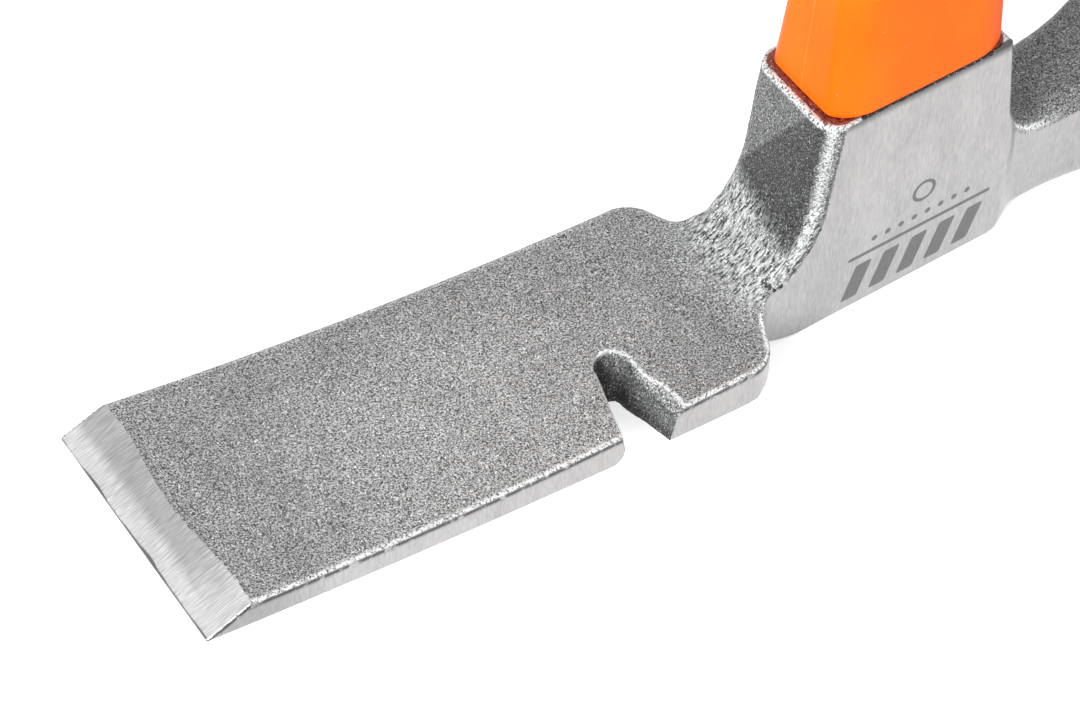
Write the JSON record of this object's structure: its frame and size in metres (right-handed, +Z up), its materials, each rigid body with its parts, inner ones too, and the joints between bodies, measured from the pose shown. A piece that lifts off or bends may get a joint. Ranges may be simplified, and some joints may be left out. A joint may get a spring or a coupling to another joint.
{
  "type": "adze hammer",
  "caption": "Carpenter's adze hammer: forged head with a wide bevelled adze blade, nail notch and square poll, bonded on an orange fibreglass-cored handle with a soft grip.",
  "frame": {"origin": "where the handle's axis meets the crown, the flat face of the eye away from the handle", "axes": "+Z up the handle from the crown to the butt, -X towards the adze blade, +X towards the striking poll, Y across the blade with the nail notch on the -Y side"},
  "size_m": [0.201, 0.046, 0.325],
  "materials": {
    "forged_steel": "shot-blasted forging with ground cheeks, edges and bevel",
    "resin": "cured epoxy, dark red-brown",
    "seal": "dark red-brown, slightly glossy",
    "fibreglass": "pultruded bar",
    "orange_plastic": "satin moulded",
    "black_rubber": "matte soft grip",
    "black_plastic": "moulded"
  },
  "bodies": {
    "root": {"adze_head": "forged_steel", "eye_resin": "resin", "eye_seal": "seal", "fibreglass_core": "fibreglass", "handle_jacket": "orange_plastic", "grip_sleeve": "black_rubber", "butt_cap": "black_plastic"}
  },
  "joints": []
}
